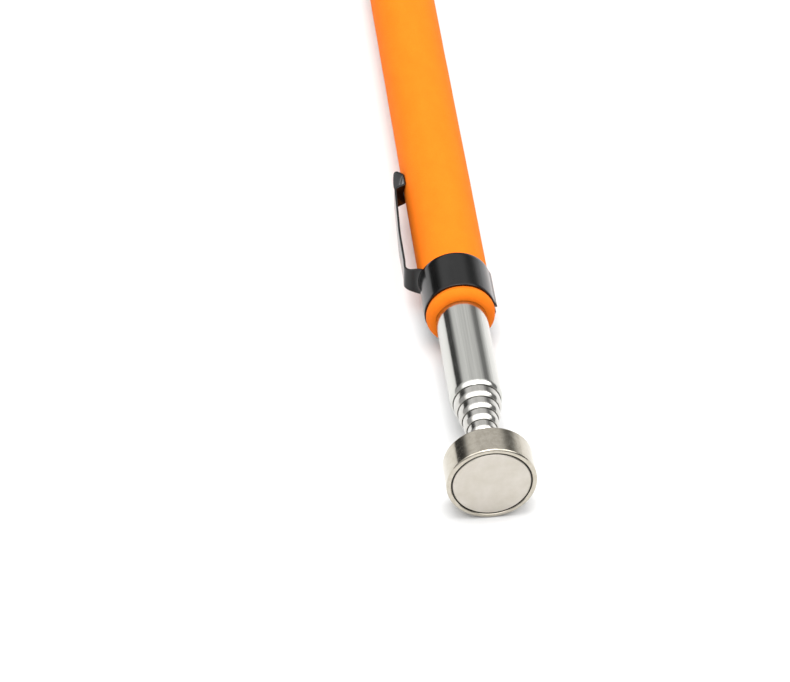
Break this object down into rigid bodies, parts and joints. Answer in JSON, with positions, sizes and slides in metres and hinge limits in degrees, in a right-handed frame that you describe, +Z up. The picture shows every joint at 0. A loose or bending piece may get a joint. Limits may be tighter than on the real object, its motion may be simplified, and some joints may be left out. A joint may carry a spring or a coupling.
{
  "type": "magnetic pickup tool",
  "caption": "Pen-sized pickup tool: round magnet in a steel cup on a nested telescopic mast, with a foam grip and a sheet steel pocket clip.",
  "frame": {"origin": "centre of the magnet's working face, mast retracted", "axes": "+Y runs back along the mast from the magnet to the rear cap, -X points at the pocket clip, +Z is up when the tool lies with its clip to the side"},
  "size_m": [0.0193, 0.18, 0.018],
  "materials": {
    "stainless_tube": "polished",
    "brass_collar": "satin",
    "spring_bronze": "satin",
    "nickel_plate": "polished",
    "magnet_plate": "satin",
    "dark_resin": "matte",
    "bare_steel": "satin",
    "orange_foam": "matte",
    "black_clip": "satin",
    "black_plastic": "satin"
  },
  "bodies": {
    "handle": {"outer_tube": "stainless_tube", "grip_sleeve": "orange_foam", "clip_band": "black_clip", "end_cap": "black_plastic"},
    "clip": {"clip_arm": "black_clip"},
    "section_2": {"section_tube_2": "stainless_tube", "base_collar_2": "brass_collar", "friction_spring_2": "spring_bronze"},
    "section_3": {"section_tube_3": "stainless_tube", "base_collar_3": "brass_collar", "friction_spring_3": "spring_bronze"},
    "section_4": {"section_tube_4": "stainless_tube", "base_collar_4": "brass_collar", "friction_spring_4": "spring_bronze"},
    "section_5": {"section_tube_5": "stainless_tube", "base_collar_5": "brass_collar", "friction_spring_5": "spring_bronze"},
    "head_slider": {"friction_spring_6": "spring_bronze"},
    "head": {"head_tube": "stainless_tube", "base_collar_6": "brass_collar", "head_stem": "bare_steel", "magnet_cup": "nickel_plate", "magnet_disc": "magnet_plate", "magnet_bed": "dark_resin"}
  },
  "joints": [
    {"name": "slide_2", "type": "slide", "parent": "handle", "child": "section_2", "axis": [0, -1, 0], "range_m": [0, 0.1327]},
    {"name": "slide_3", "type": "slide", "parent": "section_2", "child": "section_3", "axis": [0, -1, 0], "range_m": [0, 0.1351]},
    {"name": "slide_4", "type": "slide", "parent": "section_3", "child": "section_4", "axis": [0, -1, 0], "range_m": [0, 0.1375]},
    {"name": "slide_5", "type": "slide", "parent": "section_4", "child": "section_5", "axis": [0, -1, 0], "range_m": [0, 0.1399]},
    {"name": "slide_6", "type": "slide", "parent": "section_5", "child": "head_slider", "axis": [0, -1, 0], "range_m": [0, 0.1423]},
    {"name": "head_spin", "type": "hinge", "parent": "head_slider", "child": "head", "pos_m": [0, 0, 0], "axis": [0, 1, 0], "continuous": true},
    {"name": "clip_flex", "type": "hinge", "parent": "handle", "child": "clip", "pos_m": [-0.01008, 0.06517, 0], "axis": [0, 0, 1], "range_deg": [0, 6], "stiffness_Nm_per_rad": 2.2}
  ]
}
